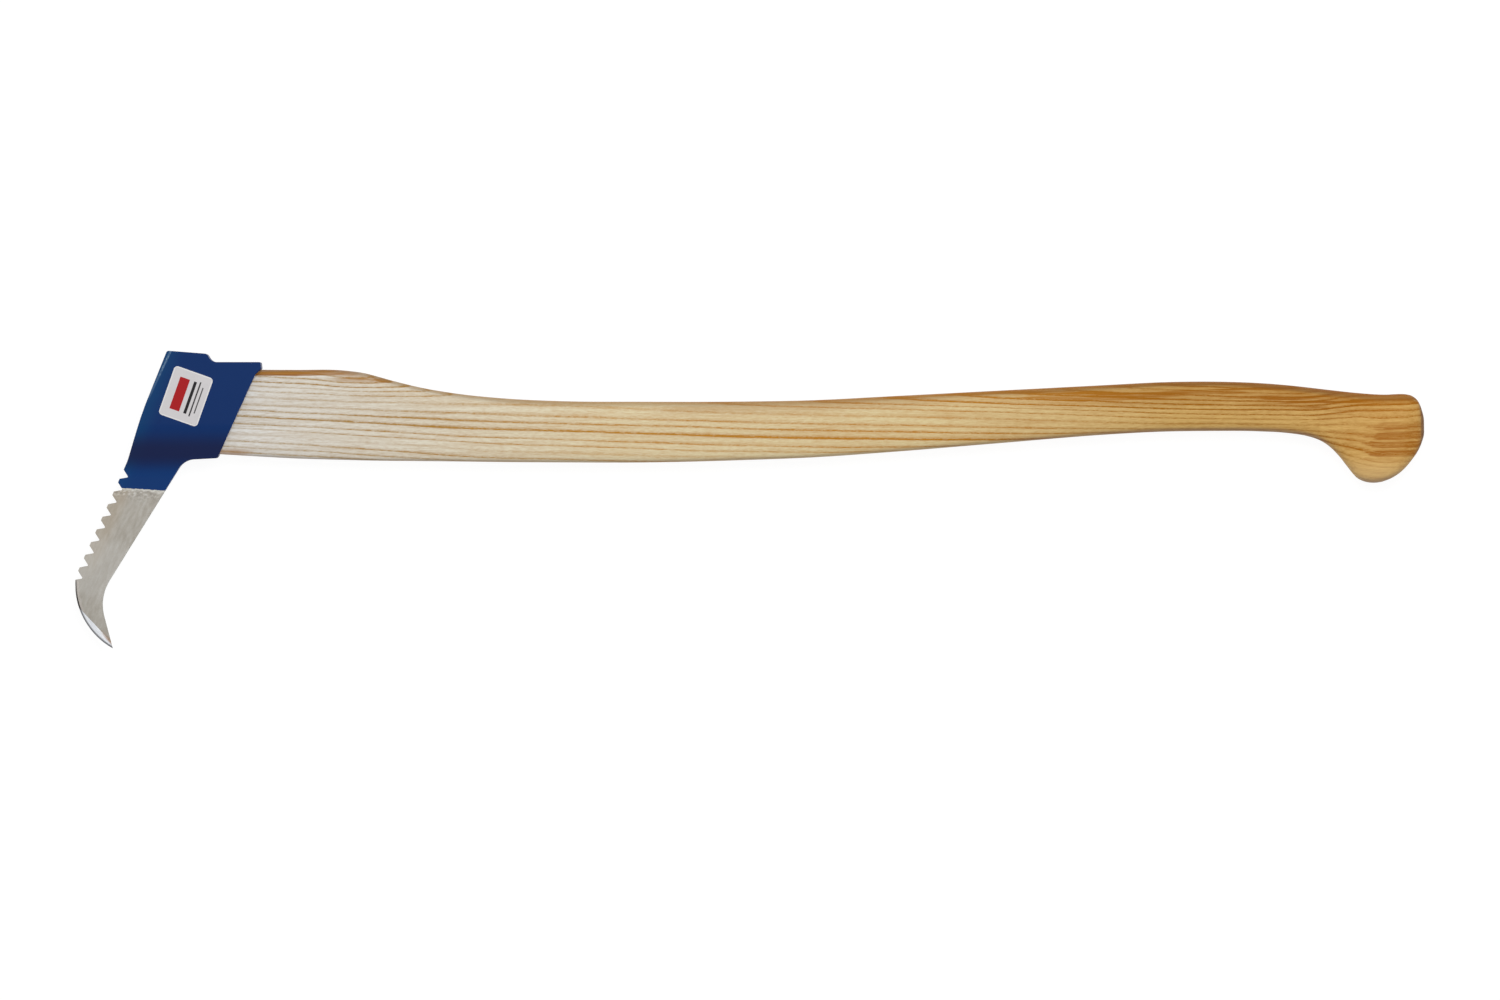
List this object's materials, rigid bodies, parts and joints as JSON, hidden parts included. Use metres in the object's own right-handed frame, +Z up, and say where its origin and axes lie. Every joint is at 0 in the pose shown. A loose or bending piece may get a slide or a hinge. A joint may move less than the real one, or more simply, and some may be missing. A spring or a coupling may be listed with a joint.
{
  "type": "sappie",
  "caption": "Forestry sappie: painted forged head with an eye, toothed blade and hooked point, wedged on a long curved ash handle with a knob end.",
  "frame": {"origin": "middle of the eye on the lower cheek of the head, which is the face that the tool lies on", "axes": "+X along the handle from the head to the knob, +Y across the head away from the hooked point, +Z up out of the upper cheek"},
  "size_m": [1.0519, 0.232, 0.0402],
  "materials": {
    "blue_paint": "satin powder coat over a forging, with the blade ground bare",
    "bare_steel": "satin",
    "ash": "sanded and lightly oiled",
    "wedge_wood": "sawn",
    "label": "satin printed film"
  },
  "bodies": {
    "root": {"head": "blue_paint", "handle": "ash", "wood_wedge": "wedge_wood", "ring_wedge": "bare_steel", "label": "label"}
  },
  "joints": []
}
